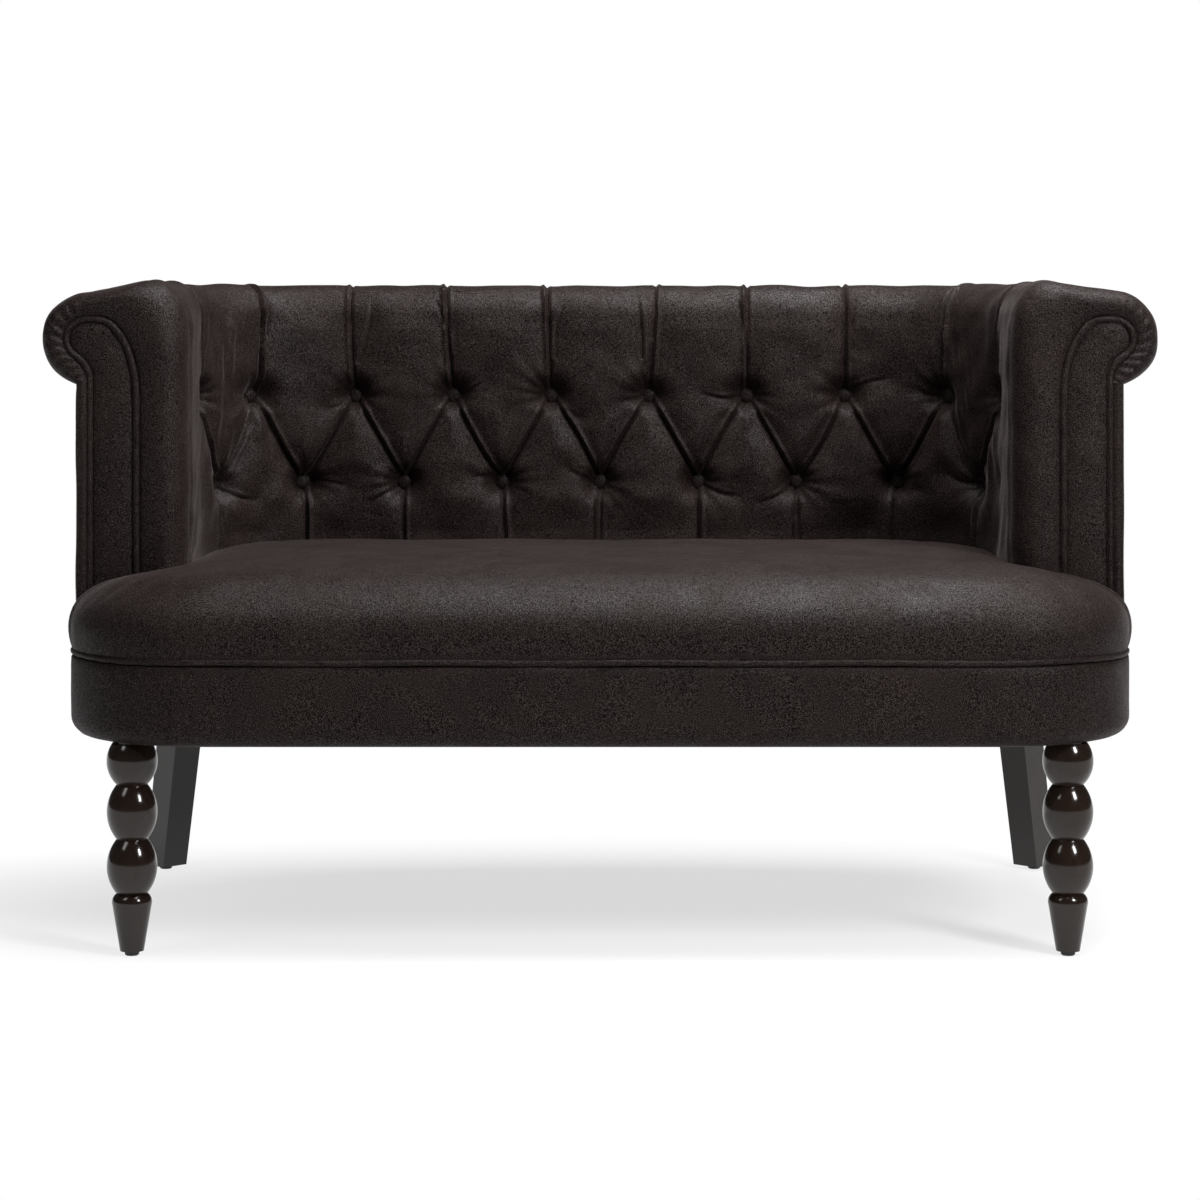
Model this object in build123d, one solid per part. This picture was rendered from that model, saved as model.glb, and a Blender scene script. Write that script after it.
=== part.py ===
from build123d import *
import os
from math import asin, atan2, cos, degrees, pi, radians, sin, sqrt

# Velvet loveseat with a tufted tub back, rolled rim, T-shaped seat and turned front legs.
# Millimetres. Origin on the floor under the middle of the bounding box, +X to the right
# as seen from the front, +Y to the back, +Z up.

# Overall size
overall_width = 1250.0
overall_depth = 684.0
overall_height = 728.0

# Rim: the inside face rises to a rounded crest, then slopes down to an outward scroll
scroll_radius = 50.0
scroll_from_face = 107.0
scroll_drop = 69.0
scroll_end_angle = 75.0
crest_radius = 38.0

# Tub walls
wall_depth = 116.0
inner_corner_radius = 150.0
outer_corner_radius = 115.0
panel_thickness = 9.0
pad_thickness = 44.0
foam_thickness = 34.0
hessian_thickness = 1.2
rail_thickness = 22.0
top_rail_height = 43.0

# Deep buttoning
tuft_pitch = 120.0
tuft_depth = 25.0
pleat_depth = 4.0
pillow_bulge = 7.0
upper_row_below_rim = 17.7
lower_row_share = 0.394
tuft_count = 4
corner_tuft_count = 5
button_radius = 10.0
button_thickness = 7.0
twine_radius = 1.2
toggle_radius = 7.0
toggle_thickness = 2.0

# Seat
base_bottom = 229.0
apron_height = 87.0
apron_edge_radius = 20.0
front_corner_radius = 165.0
front_side_run = 10.0
welt_radius = 3.5
seat_crest = 418.0
seat_overhang = 4.0
seat_wadding = 12.0
rail_lift = 2.0
rail_height = 77.0
seat_rail_thickness = 25.0
corner_block_width = 165.0
corner_block_depth = 150.0
rear_block_width = 140.0
rear_block_depth = 125.0
stretcher_width = 40.0
stretcher_height = 45.0

# Seat springs
spring_count = 8
spring_spacing = 105.0
spring_wire = 3.8
spring_run = 30.0
spring_step = 22.0
clip_width = 16.0
clip_depth = 14.0
clip_height = 7.0
clip_from_edge = 2.3

# Back webbing
strap_width = 38.0
strap_thickness = 1.6

# Arm fronts
facing_border = 26.0
facing_inner_edge = 48.0
facing_outer_edge = 100.0
facing_shoulder = 42.0
facing_neck_angle = 60.0
facing_thickness = 5.0
facing_recess = 8.0
board_thickness = 18.0
arm_edge_bevel = 8.0

# Front legs, turned
front_leg_from_side = 81.0
front_leg_setback = 62.0
ball_radius = 27.0
neck_radius = 16.5
ball_pitch = 58.5
collar_radius = 21.5
collar_height = 52.0
foot_radius = 12.8
collar_rise = 9.5
leg_top_radius = 21.0
glide_radius = 7.7
glide_height = 5.0
glide_pin_radius = 1.5
glide_pin_length = 14.0

# Leg fixings
bolt_radius = 4.0
bolt_in_leg = 34.0
bolt_in_block = 22.0
insert_radius = 6.5
washer_radius = 15.0
washer_thickness = 2.5
cap_bolt_radius = 3.0
cap_head_radius = 5.5
cap_head_height = 6.0
cap_bolt_spacing = 24.0
cap_bolt_grip = 40.0
cap_bolt_in_leg = 32.0

# Rear legs, square, splayed to the corners
rear_leg_from_side = 68.0
rear_leg_from_back = 55.0
rear_leg_top = 40.0
rear_leg_foot = 36.0
rear_leg_splay = 38.0

# Underside
dust_cover_thickness = 1.2
dust_cover_margin = 30.0

# Clearances
soft_gap = 0.3
over_cut = 1.0
wood_gap = 0.1
thread_gap = 0.08
seat_gap = 1.5

# Worked out places
front_y = -overall_depth / 2 + seat_overhang
scroll_height = overall_height - scroll_drop
inner_x = overall_width / 2 - scroll_radius - scroll_from_face
inner_y = overall_depth / 2 - scroll_radius - scroll_from_face
outer_x = inner_x + wall_depth
outer_y = inner_y + wall_depth
path_half = inner_x - inner_corner_radius
path_centre_y = inner_y - inner_corner_radius
arc_length = inner_corner_radius * pi / 2
arm_front_y = front_y + front_corner_radius + front_side_run
path_end = path_half + arc_length + path_centre_y - arm_front_y
half_pitch = tuft_pitch / 2
apron_top = base_bottom + apron_height
welt_height = apron_top + soft_gap + welt_radius
cushion_edge = welt_height + welt_radius + soft_gap
rail_bottom = base_bottom + rail_lift
rail_top = rail_bottom + rail_height
clip_top = rail_top + clip_height
seat_hessian_z = clip_top + soft_gap
seat_foam_z = seat_hessian_z + hessian_thickness + soft_gap
pad_bottom = seat_foam_z
rim_bottom = scroll_height - scroll_radius * sin(radians(scroll_end_angle))
upper_row_height = rim_bottom - upper_row_below_rim
lower_row_height = seat_crest + (upper_row_height - seat_crest) * lower_row_share
foam_back = pad_thickness + soft_gap + foam_thickness
hessian_back = foam_back + soft_gap + hessian_thickness
post_back = wall_depth - panel_thickness - soft_gap
post_front = post_back - rail_thickness
top_rail_top = rim_bottom + top_rail_height
front_leg_x = outer_x - front_leg_from_side
front_leg_y = front_y + front_leg_setback
rear_leg_x = outer_x - rear_leg_from_side
rear_leg_y = outer_y - rear_leg_from_back
leg_top = rail_bottom - washer_thickness
board_back = arm_front_y + facing_recess + facing_thickness + board_thickness
board_path = path_end - (board_back - arm_front_y) - soft_gap

# Columns of tufts at which the back pad ends and the corner pads end
last_column = 2 * tuft_count + 1
corner_start = corner_tuft_count * half_pitch
corner_end = last_column * half_pitch
corner_steps = 2 * (last_column - corner_tuft_count)
corner_step = (corner_end - corner_start) / corner_steps
corner_stations = [corner_start + corner_step * k for k in range(corner_steps + 1)]
seat_half = outer_x
diagonal = sqrt(0.5)

# Seat crown: inset of the plan and share of the rise, from the piping up to the crest
seat_profile = [
    (3.0, 0.0),
    (-seat_overhang, 0.22),
    (-seat_overhang / 2, 0.42),
    (10.0, 0.62),
    (34.0, 0.81),
    (82.0, 0.94),
    (150.0, 1.0),
]


def save(node, shape):
    solids = shape.solids()
    export_step(Compound(solids) if len(solids) > 1 else solids[0], os.path.join("parts", node + ".step"))


def mirrored(shape):
    return mirror(shape, about=Plane.YZ)


def save_pair(node, right_shape):
    save("right_" + node, right_shape)
    save("left_" + node, mirrored(right_shape))


# The same piece on both sides, kept as one group of separate solids
def save_both(node, right_shape):
    save(node, Compound(right_shape.solids() + mirrored(right_shape).solids()))


def block(x0, x1, y0, y1, z0, z1):
    return Pos((x0 + x1) / 2, (y0 + y1) / 2, (z0 + z1) / 2) * Box(x1 - x0, y1 - y0, z1 - z0)


# The tub's path runs along the inside face: s is zero at the middle of the back and grows
# round the corner and along the arm on the right.
def path_point(s):
    side = 1 if s >= 0 else -1
    run = abs(s)
    if run <= path_half:
        return side * run, inner_y, 0.0, 1.0
    turn = (run - path_half) / inner_corner_radius
    if turn <= pi / 2:
        x = path_half + inner_corner_radius * sin(turn)
        return side * x, path_centre_y + inner_corner_radius * cos(turn), side * sin(turn), cos(turn)
    return side * inner_x, path_centre_y - (run - path_half - arc_length), float(side), 0.0


def path_plane(s):
    x, y, nx, ny = path_point(s)
    return Plane(origin=(x, y, 0), x_dir=(nx, ny, 0), z_dir=(ny, -nx, 0))


# Distance that the outside wall stands further out than on the straight runs.
def corner_extra(s):
    x, y, nx, ny = path_point(s)
    x, nx = abs(x), abs(nx)
    corner_x = outer_x - outer_corner_radius
    corner_y = outer_y - outer_corner_radius
    if x <= corner_x and nx * (outer_y - y) <= ny * (corner_x - x):
        return (outer_y - y) / ny - wall_depth
    if y <= corner_y and ny * (outer_x - x) <= nx * (corner_y - y):
        return (outer_x - x) / nx - wall_depth
    along = nx * (corner_x - x) + ny * (corner_y - y)
    square = (corner_x - x) ** 2 + (corner_y - y) ** 2
    return along + sqrt(along ** 2 - square + outer_corner_radius ** 2) - wall_depth


def arc_to(start, end, bulge):
    middle = ((start[0] + end[0]) / 2 - bulge, (start[1] + end[1]) / 2)
    return ThreePointArc(start, middle, end)


def polar(centre, radius, angle):
    return centre[0] + radius * cos(radians(angle)), centre[1] + radius * sin(radians(angle))


# Seat and base plan, inset from the outside of the base
def base_plan(inset):
    front_r = front_corner_radius - inset
    rear_r = outer_corner_radius - inset
    x = seat_half - inset
    y0 = front_y + inset
    y1 = outer_y - inset
    lines = []
    for side in (1, -1):
        front_centre = (side * (x - front_r), y0 + front_r)
        rear_centre = (side * (x - rear_r), y1 - rear_r)
        front_mid = (front_centre[0] + side * front_r * diagonal, front_centre[1] - front_r * diagonal)
        rear_mid = (rear_centre[0] + side * rear_r * diagonal, rear_centre[1] + rear_r * diagonal)
        lines.append(ThreePointArc((front_centre[0], y0), front_mid, (side * x, front_centre[1])))
        lines.append(Line((side * x, front_centre[1]), (side * x, rear_centre[1])))
        lines.append(ThreePointArc((side * x, rear_centre[1]), rear_mid, (rear_centre[0], y1)))
    lines.append(Line((-(x - rear_r), y1), (x - rear_r, y1)))
    lines.append(Line((-(x - front_r), y0), (x - front_r, y0)))
    return make_face(lines)


def base_prism(inset, z0, z1):
    return extrude(Pos(0, 0, z0) * base_plan(inset), z1 - z0)


# Lower edge of the base is rolled under, so the prism's bottom edge is rounded.
def rolled_base(inset, z0, z1):
    prism = base_prism(inset, z0, z1)
    bottom = prism.faces().sort_by(Axis.Z)[0]
    return fillet(bottom.edges(), apron_edge_radius - inset)


# Tufted inside pads: one section at each half pitch, dipping at its row of buttons
def tuft_section(s, inset=0.0):
    column = round(abs(s) / half_pitch)
    on_column = abs(abs(s) - column * half_pitch) < soft_gap
    upper = on_column and column % 2 == 1
    lower = on_column and column % 2 == 0
    upper_dip = inset + (tuft_depth if upper else 0.0)
    lower_dip = inset + (tuft_depth if lower else 0.0)
    pleat = inset + (pleat_depth if upper else 0.0)
    foot = inset + (pleat_depth if lower else 0.0)
    top = overall_height - pleat
    crest_centre = (crest_radius, overall_height - crest_radius)
    crest_mid = polar(crest_centre, crest_radius - pleat, 135)
    p_foot = (foot, pad_bottom)
    p_low = (lower_dip, lower_row_height)
    p_high = (upper_dip, upper_row_height)
    p_crest = (pleat, crest_centre[1])
    p_top = (crest_radius, top)
    return make_face([
        Line((pad_thickness, pad_bottom), p_foot),
        Line(p_foot, p_low),
        arc_to(p_low, p_high, pillow_bulge),
        arc_to(p_high, p_crest, pillow_bulge),
        ThreePointArc(p_crest, crest_mid, p_top),
        Line(p_top, (pad_thickness, top)),
        Line((pad_thickness, top), (pad_thickness, pad_bottom)),
    ])


def along_path(section, stations):
    return loft([path_plane(s) * section(s) for s in stations], ruled=True)


# Slab that follows the inside face between two depths
def slab_section(near, far, z0, z1):
    return make_face(Polyline((near, z0), (far, z0), (far, z1), (near, z1), close=True))


# Rim section: crest to scroll, with a groove below for the top rail
def rim_section(s):
    extra = corner_extra(s)
    start = (pad_thickness + soft_gap, overall_height - pleat_depth / 2)
    centre = (scroll_from_face + extra, scroll_height)
    reach = sqrt((centre[0] - start[0]) ** 2 + (centre[1] - start[1]) ** 2)
    slope = degrees(atan2(centre[1] - start[1], centre[0] - start[0]) + asin(scroll_radius / reach))
    top = slope + 90
    groove_near = post_front - strap_thickness - 2 * soft_gap + extra
    groove_far = post_back + soft_gap + extra
    groove_top = top_rail_top + soft_gap
    p_end = polar(centre, scroll_radius, -scroll_end_angle)
    return make_face([
        Line(start, polar(centre, scroll_radius, top)),
        ThreePointArc(polar(centre, scroll_radius, top), polar(centre, scroll_radius, top / 2),
                      polar(centre, scroll_radius, 0)),
        ThreePointArc(polar(centre, scroll_radius, 0), polar(centre, scroll_radius, -scroll_end_angle / 2),
                      p_end),
        Line(p_end, (groove_far, rim_bottom)),
        Line((groove_far, rim_bottom), (groove_far, groove_top)),
        Line((groove_far, groove_top), (groove_near, groove_top)),
        Line((groove_near, groove_top), (groove_near, rim_bottom)),
        Line((groove_near, rim_bottom), (start[0], rim_bottom)),
        Line((start[0], rim_bottom), start),
    ])


def top_rail_section(s):
    extra = corner_extra(s)
    return slab_section(post_front + extra, post_back + extra, rim_bottom, top_rail_top)


# Outline of an arm front's piping, grown outwards by a margin
def facing_lines(grow, bottom):
    inner = facing_inner_edge - grow
    outer = facing_outer_edge + grow
    centre = (scroll_from_face, scroll_height)
    head = scroll_radius - facing_border + grow
    shoulder = facing_shoulder + grow
    top = scroll_height + head
    leave = polar(centre, head, -facing_neck_angle)
    neck = (leave[0] - outer) / (1 - cos(radians(facing_neck_angle)))
    neck_centre = (outer + neck, leave[1] - neck * sin(radians(facing_neck_angle)))
    neck_mid = polar(neck_centre, neck, 180 - facing_neck_angle / 2)
    shoulder_centre = (inner + shoulder, top - shoulder)
    return [
        Line((inner, bottom), (inner, top - shoulder)),
        ThreePointArc((inner, top - shoulder), polar(shoulder_centre, shoulder, 135),
                      (inner + shoulder, top)),
        Line((inner + shoulder, top), (centre[0], top)),
        ThreePointArc((centre[0], top), polar(centre, head, 45 - facing_neck_angle / 2), leave),
        ThreePointArc(leave, neck_mid, (outer, neck_centre[1])),
        Line((outer, neck_centre[1]), (outer, bottom)),
    ]


def facing_face(grow, bottom):
    lines = facing_lines(grow, bottom)
    return make_face(lines + [Line((facing_outer_edge + grow, bottom), (facing_inner_edge - grow, bottom))])


def arm_plane(y):
    return Plane(origin=(inner_x, y, 0), x_dir=(1, 0, 0), z_dir=(0, -1, 0))


def tuft_stations(first, last):
    return [k * half_pitch for k in range(first, last + 1)]


def button_places():
    upper = [(2 * k + 1) * half_pitch for k in range(-tuft_count - 1, tuft_count + 1)]
    lower = [2 * k * half_pitch for k in range(-tuft_count, tuft_count + 1)]
    return [(s, upper_row_height) for s in upper], [(s, lower_row_height) for s in lower]


# A round piece that stands on the tub's inside face at path s and height z, from depth to depth
def stud(s, z, near, far, radius):
    x, y, nx, ny = path_point(s)
    base = Plane(origin=(x + nx * near, y + ny * near, z), x_dir=(0, 0, 1), z_dir=(nx, ny, 0))
    return extrude(base * Circle(radius), far - near)


def cut_tufts(pad):
    upper, lower = button_places()
    tools = []
    for s, z in upper + lower:
        mouth = -pillow_bulge - button_thickness
        tools.append(stud(s, z, mouth, tuft_depth + soft_gap, button_radius + soft_gap))
        tools.append(stud(s, z, tuft_depth, pad_thickness + over_cut, twine_radius + soft_gap))
    return pad - tools


def seat_region(gap, z0, z1):
    ring = [path_point(s) for s in tuft_stations(-last_column, last_column)]
    points = [(x - nx * gap, y - ny * gap) for x, y, nx, ny in ring]
    ear_y = arm_front_y - seat_gap
    wide = seat_half + 3 * seat_overhang
    points = [(-(inner_x - gap), ear_y)] + points + [(inner_x - gap, ear_y)]
    points += [(wide, ear_y), (wide, front_y - 3 * seat_overhang)]
    points += [(-wide, front_y - 3 * seat_overhang), (-wide, ear_y)]
    return extrude(Pos(0, 0, z0) * make_face(Polyline(*points, close=True)), z1 - z0)


# Plan of one level of the crowned seat, open to the back
def seat_plan(inset):
    radius = front_corner_radius * (1 - inset / seat_half)
    x = seat_half - inset
    y0 = front_y + inset
    cut = radius * (1 - diagonal)
    lines = [Line((-x + radius, y0), (x - radius, y0)), Line((-x, inner_y), (x, inner_y))]
    for side in (1, -1):
        corner = (side * (x - cut), y0 + cut)
        lines.append(ThreePointArc((side * (x - radius), y0), corner, (side * x, y0 + radius)))
        lines.append(Line((side * x, y0 + radius), (side * x, inner_y)))
    return make_face(lines)


# Crowned seat: plans drawn in at the piping, swelling out and closing to a flat crest
def crown(shrink, edge, crest):
    levels = []
    for inset, part in seat_profile:
        levels.append(Pos(0, 0, edge + (crest - edge) * part) * seat_plan(inset + shrink))
    return loft(levels, ruled=True)


def seat_frame():
    frame = rolled_base(panel_thickness + soft_gap, rail_bottom, rail_top)
    inset = panel_thickness + soft_gap + seat_rail_thickness
    ring = frame - base_prism(inset, rail_bottom - over_cut, rail_top + over_cut)
    block_x = seat_half - corner_block_width
    block_y = front_y + corner_block_depth
    rear_x = outer_x - rear_block_width
    rear_y = outer_y - rear_block_depth
    far = overall_width
    save("front_rail", ring & block(-block_x + wood_gap, block_x - wood_gap, -far, block_y, 0, far))
    save("back_rail", ring & block(-rear_x + wood_gap, rear_x - wood_gap, rear_y, far, 0, far))
    side = ring & block(block_x, far, block_y + wood_gap, rear_y - wood_gap, 0, far)
    save_pair("side_rail", side)
    insert_top = rail_bottom + bolt_in_block
    insert_hole = block_round(front_leg_x, front_leg_y, insert_radius + wood_gap, 0, insert_top)
    save_both("front_corner_blocks", (frame & block(block_x, far, -far, block_y, 0, far)) - insert_hole)
    rear = frame & block(rear_x, far, rear_y, far, 0, far)
    for x, y in cap_bolt_places():
        rear -= block_round(x, y, cap_bolt_radius + wood_gap, 0, rail_top + over_cut)
        head_floor = rail_bottom + cap_bolt_grip
        rear -= block_round(x, y, cap_head_radius + seat_gap, head_floor, rail_top + over_cut)
    save_both("rear_corner_blocks", rear)
    front_in = front_y + inset + wood_gap
    back_in = outer_y - inset - wood_gap
    save("seat_stretcher", block(-stretcher_width / 2, stretcher_width / 2, front_in, back_in,
                                 rail_bottom, rail_bottom + stretcher_height))


def block_round(x, y, radius, z0, z1):
    return Pos(x, y, (z0 + z1) / 2) * Cylinder(radius, z1 - z0)


def cap_bolt_places():
    step = cap_bolt_spacing / 2 * diagonal
    return [(rear_leg_x + step * side, rear_leg_y - step * side) for side in (1, -1)]


def tub_frame():
    y0 = inner_y + post_front
    y1 = inner_y + post_back
    save("back_top_rail", along_path(top_rail_section, [-corner_start, corner_start]))
    uprights = []
    for place in (-3, -1, 1, 3):
        x = place * spring_spacing
        upright = block(x - rail_thickness / 2, x + rail_thickness / 2, y0, y1, rail_top, rim_bottom)
        uprights.append(upright.solid())
    save("back_uprights", Compound(uprights))
    save_both("corner_top_blocks", along_path(top_rail_section, corner_stations))
    x0 = inner_x + post_front
    x1 = inner_x + post_back
    save_both("arm_top_rails", along_path(top_rail_section, [corner_end, board_path]))
    save_both("arm_posts", block(x0, x1, -rail_thickness / 2, rail_thickness / 2, rail_top, rim_bottom))
    board = extrude(arm_plane(board_back) * facing_face(welt_radius, rail_top), board_thickness)
    save_both("arm_boards", board)


def springs():
    y0 = front_y + panel_thickness + clip_depth / 2 + clip_from_edge
    y1 = outer_y - panel_thickness - clip_depth / 2 - clip_from_edge
    turns = 2 * round((y1 - y0) / spring_step / 2) - 1
    step = (y1 - y0) / turns
    half_run = spring_run / 2
    z = rail_top + clip_height / 2
    edges = []
    for turn in range(turns + 1):
        y = y0 + step * turn
        side = 1 if turn % 2 == 0 else -1
        edges.append(Line((-side * half_run, y, z), (side * half_run, y, z)))
        if turn < turns:
            middle = (side * (half_run + step / 2), y + step / 2, z)
            edges.append(ThreePointArc((side * half_run, y, z), middle, (side * half_run, y + step, z)))
    path = Wire(edges)
    section = Plane(origin=path.position_at(0), z_dir=path.tangent_at(0)) * Circle(spring_wire / 2)
    spring = sweep(section, path=path)
    bar = Pos(0, 0, z) * Rot(0, 90, 0) * Cylinder(spring_wire / 2 + thread_gap, 2 * clip_width)
    clip = block(-clip_width / 2, clip_width / 2, -clip_depth / 2, clip_depth / 2, rail_top, clip_top) - bar
    first = -(spring_count - 1) / 2
    places = [(first + k) * spring_spacing for k in range(spring_count)]
    save("seat_springs", Compound([(Pos(x, 0, 0) * spring).solid() for x in places]))
    clips = [(Pos(x, y, 0) * clip).solid() for x in places for y in (y0, y1)]
    save("spring_clips", Compound(clips))


def seat():
    region = seat_region(seat_gap, seat_hessian_z - over_cut, seat_crest + over_cut)
    hessian = base_prism(panel_thickness + soft_gap, seat_hessian_z, seat_hessian_z + hessian_thickness)
    save("seat_hessian", hessian & region)
    core = crown(seat_wadding, seat_foam_z, seat_crest - seat_wadding)
    save("seat_foam", core & region)
    room = Pos(0, 0, soft_gap) * crown(seat_wadding - soft_gap, seat_foam_z, seat_crest - seat_wadding)
    save("seat_cover", (crown(0, cushion_edge, seat_crest) - room) & region)


def leg_hole():
    room = rear_leg_top + 2 * seat_gap
    return Rot(0, 0, 45) * block(-room / 2, room / 2, -room / 2, room / 2, 0, rail_bottom + soft_gap)


def front_trim():
    front = block(-overall_width, overall_width, -overall_depth, arm_front_y - soft_gap, 0, overall_height)
    rear = block(-overall_width, overall_width, arm_front_y, overall_depth, 0, overall_height)
    apron = rolled_base(0, base_bottom, apron_top)
    apron -= rolled_base(panel_thickness, rail_bottom, apron_top + over_cut)
    apron -= base_prism(dust_cover_margin, base_bottom - over_cut, rail_bottom + over_cut)
    leg_room = leg_top_radius + seat_gap
    for side in (1, -1):
        apron -= block_round(side * front_leg_x, front_leg_y, leg_room, 0, rail_bottom + soft_gap)
    save("apron", apron & front)
    shell = rolled_base(0, base_bottom, rim_bottom - soft_gap)
    shell -= rolled_base(panel_thickness, rail_bottom, rim_bottom)
    shell -= base_prism(dust_cover_margin, base_bottom - over_cut, rail_bottom + over_cut)
    shell = shell & rear
    for side in (1, -1):
        shell -= Pos(side * rear_leg_x, rear_leg_y, 0) * leg_hole()
    seam = outer_x - outer_corner_radius
    save("outside_back", shell & block(-seam, seam, 0, overall_depth, 0, overall_height))
    beside = block(seam + wood_gap, overall_width, -overall_depth, overall_depth, 0, overall_height)
    save_pair("outside_arm", shell & beside)
    x = seat_half - welt_radius
    y0 = front_y + welt_radius
    radius = front_corner_radius - welt_radius
    end_y = arm_front_y - soft_gap
    cut = radius * (1 - diagonal)
    path = Wire([
        Line((x, end_y, welt_height), (x, y0 + radius, welt_height)),
        ThreePointArc((x, y0 + radius, welt_height), (x - cut, y0 + cut, welt_height),
                      (x - radius, y0, welt_height)),
        Line((x - radius, y0, welt_height), (-x + radius, y0, welt_height)),
        ThreePointArc((-x + radius, y0, welt_height), (-x + cut, y0 + cut, welt_height),
                      (-x, y0 + radius, welt_height)),
        Line((-x, y0 + radius, welt_height), (-x, end_y, welt_height)),
    ])
    section = Plane(origin=path.position_at(0), z_dir=path.tangent_at(0)) * Circle(welt_radius)
    save("seat_welt", sweep(section, path=path))
    dust_top = rail_bottom - soft_gap
    dust = base_prism(dust_cover_margin + soft_gap, dust_top - dust_cover_thickness, dust_top)
    for side in (1, -1):
        dust -= block_round(side * front_leg_x, front_leg_y, leg_room, 0, rail_top)
        dust -= Pos(side * rear_leg_x, rear_leg_y, 0) * leg_hole()
    save("dust_cover", dust)


def tub_padding():
    top = rim_bottom - soft_gap
    back = tuft_stations(-corner_tuft_count, corner_tuft_count)
    corner = tuft_stations(corner_tuft_count, last_column)
    save("inside_back_pad", cut_tufts(along_path(tuft_section, back)))
    save_pair("corner_pad", cut_tufts(along_path(tuft_section, corner)))
    arm = loft([path_plane(corner_end) * tuft_section(corner_end),
                path_plane(path_end - arm_edge_bevel) * tuft_section(path_end - arm_edge_bevel),
                path_plane(path_end) * tuft_section(path_end, arm_edge_bevel)], ruled=True)
    save_pair("arm_pad", cut_tufts(arm))

    def foam_section(s):
        return slab_section(pad_thickness + soft_gap, foam_back, pad_bottom, top)

    def hessian_section(s):
        return slab_section(foam_back + soft_gap, hessian_back, pad_bottom, top)

    upper, lower = button_places()
    hole_radius = twine_radius + soft_gap
    holes = [stud(s, z, pad_thickness, hessian_back + over_cut, hole_radius) for s, z in upper + lower]
    for name, section in (("foam", foam_section), ("hessian", hessian_section)):
        save("back_" + name, along_path(section, back) - holes)
        save_both("arm_" + name, along_path(section, corner + [board_path]) - holes)


def rims():
    save("back_rim", along_path(rim_section, [-corner_start, corner_start]))
    save_pair("corner_rim", along_path(rim_section, corner_stations))
    arm = along_path(rim_section, [corner_end, path_end])
    opening = arm_plane(board_back + soft_gap) * facing_face(welt_radius + soft_gap, rail_top)
    recess = extrude(opening, overall_depth)
    save_pair("arm_rim", arm - recess)


def facings():
    y = arm_front_y + facing_recess + facing_thickness
    panel = extrude(arm_plane(y) * facing_face(-welt_radius - soft_gap, cushion_edge), facing_thickness)
    save_pair("facing", panel)
    welt_y = y - welt_radius - soft_gap
    path = Wire([arm_plane(welt_y) * line for line in facing_lines(0, cushion_edge)])
    section = Plane(origin=path.position_at(0), z_dir=path.tangent_at(0)) * Circle(welt_radius)
    save_both("facing_welts", sweep(section, path=path))


def buttons():
    upper, lower = button_places()
    face = tuft_depth - button_thickness
    for name, row in (("upper_buttons", upper), ("lower_buttons", lower)):
        made = []
        for s, z in row:
            disc = stud(s, z, face, tuft_depth, button_radius)
            x, y = path_point(s)[:2]
            front_edge = disc.edges().filter_by(GeomType.CIRCLE).sort_by_distance((x, y, z))[0]
            made.append(fillet(front_edge, button_thickness / 2).solid())
        save(name, Compound(made))
    near = hessian_back + soft_gap
    twine = [stud(s, z, tuft_depth, near, twine_radius).solid() for s, z in upper + lower]
    save("tufting_twine", Compound(twine))
    toggles = [stud(s, z, near, near + toggle_thickness, toggle_radius).solid() for s, z in upper + lower]
    save("tuft_toggles", Compound(toggles))
    y0 = inner_y + post_front - soft_gap - strap_thickness
    y1 = y0 + strap_thickness
    straps = []
    for k in range(-2, 3):
        x = k * spring_spacing
        strap = block(x - strap_width / 2, x + strap_width / 2, y0, y1, rail_top, top_rail_top)
        straps.append(strap.solid())
    save("back_webbing", Compound(straps))


def turned_leg():
    z0 = glide_height
    collar = z0 + collar_height
    neck = collar + collar_rise
    profile = [Line((0, z0), (foot_radius, z0)), Line((foot_radius, z0), (collar_radius, collar))]
    collar_mid = (collar_radius - collar_rise / 10, collar + collar_rise / 2)
    profile.append(ThreePointArc((collar_radius, collar), collar_mid, (neck_radius, neck)))
    for ball in range(2):
        low = neck + ball * ball_pitch
        high = low + ball_pitch
        widest = (low + high) / 2
        profile.append(ThreePointArc((neck_radius, low), (ball_radius, widest), (neck_radius, high)))
    low = neck + 2 * ball_pitch
    widest = low + ball_pitch / 2
    profile.append(ThreePointArc((neck_radius, low), (ball_radius, widest), (leg_top_radius, leg_top)))
    profile.append(Line((leg_top_radius, leg_top), (0, leg_top)))
    profile.append(Line((0, leg_top), (0, z0)))
    leg = revolve(Plane.XZ * make_face(profile), Axis.Z)
    leg -= block_round(0, 0, bolt_radius + wood_gap, leg_top - bolt_in_leg - wood_gap, leg_top + over_cut)
    return leg - pin_hole(0, 0)


def pin_hole(x, y):
    top = glide_height + glide_pin_length + wood_gap
    return block_round(x, y, glide_pin_radius + wood_gap, glide_height - over_cut, top)


def glide():
    disc = block_round(0, 0, glide_radius, 0, glide_height)
    disc = chamfer(disc.faces().sort_by(Axis.Z)[0].edges(), glide_height / 4)
    return disc + block_round(0, 0, glide_pin_radius, glide_height, glide_height + glide_pin_length)


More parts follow.
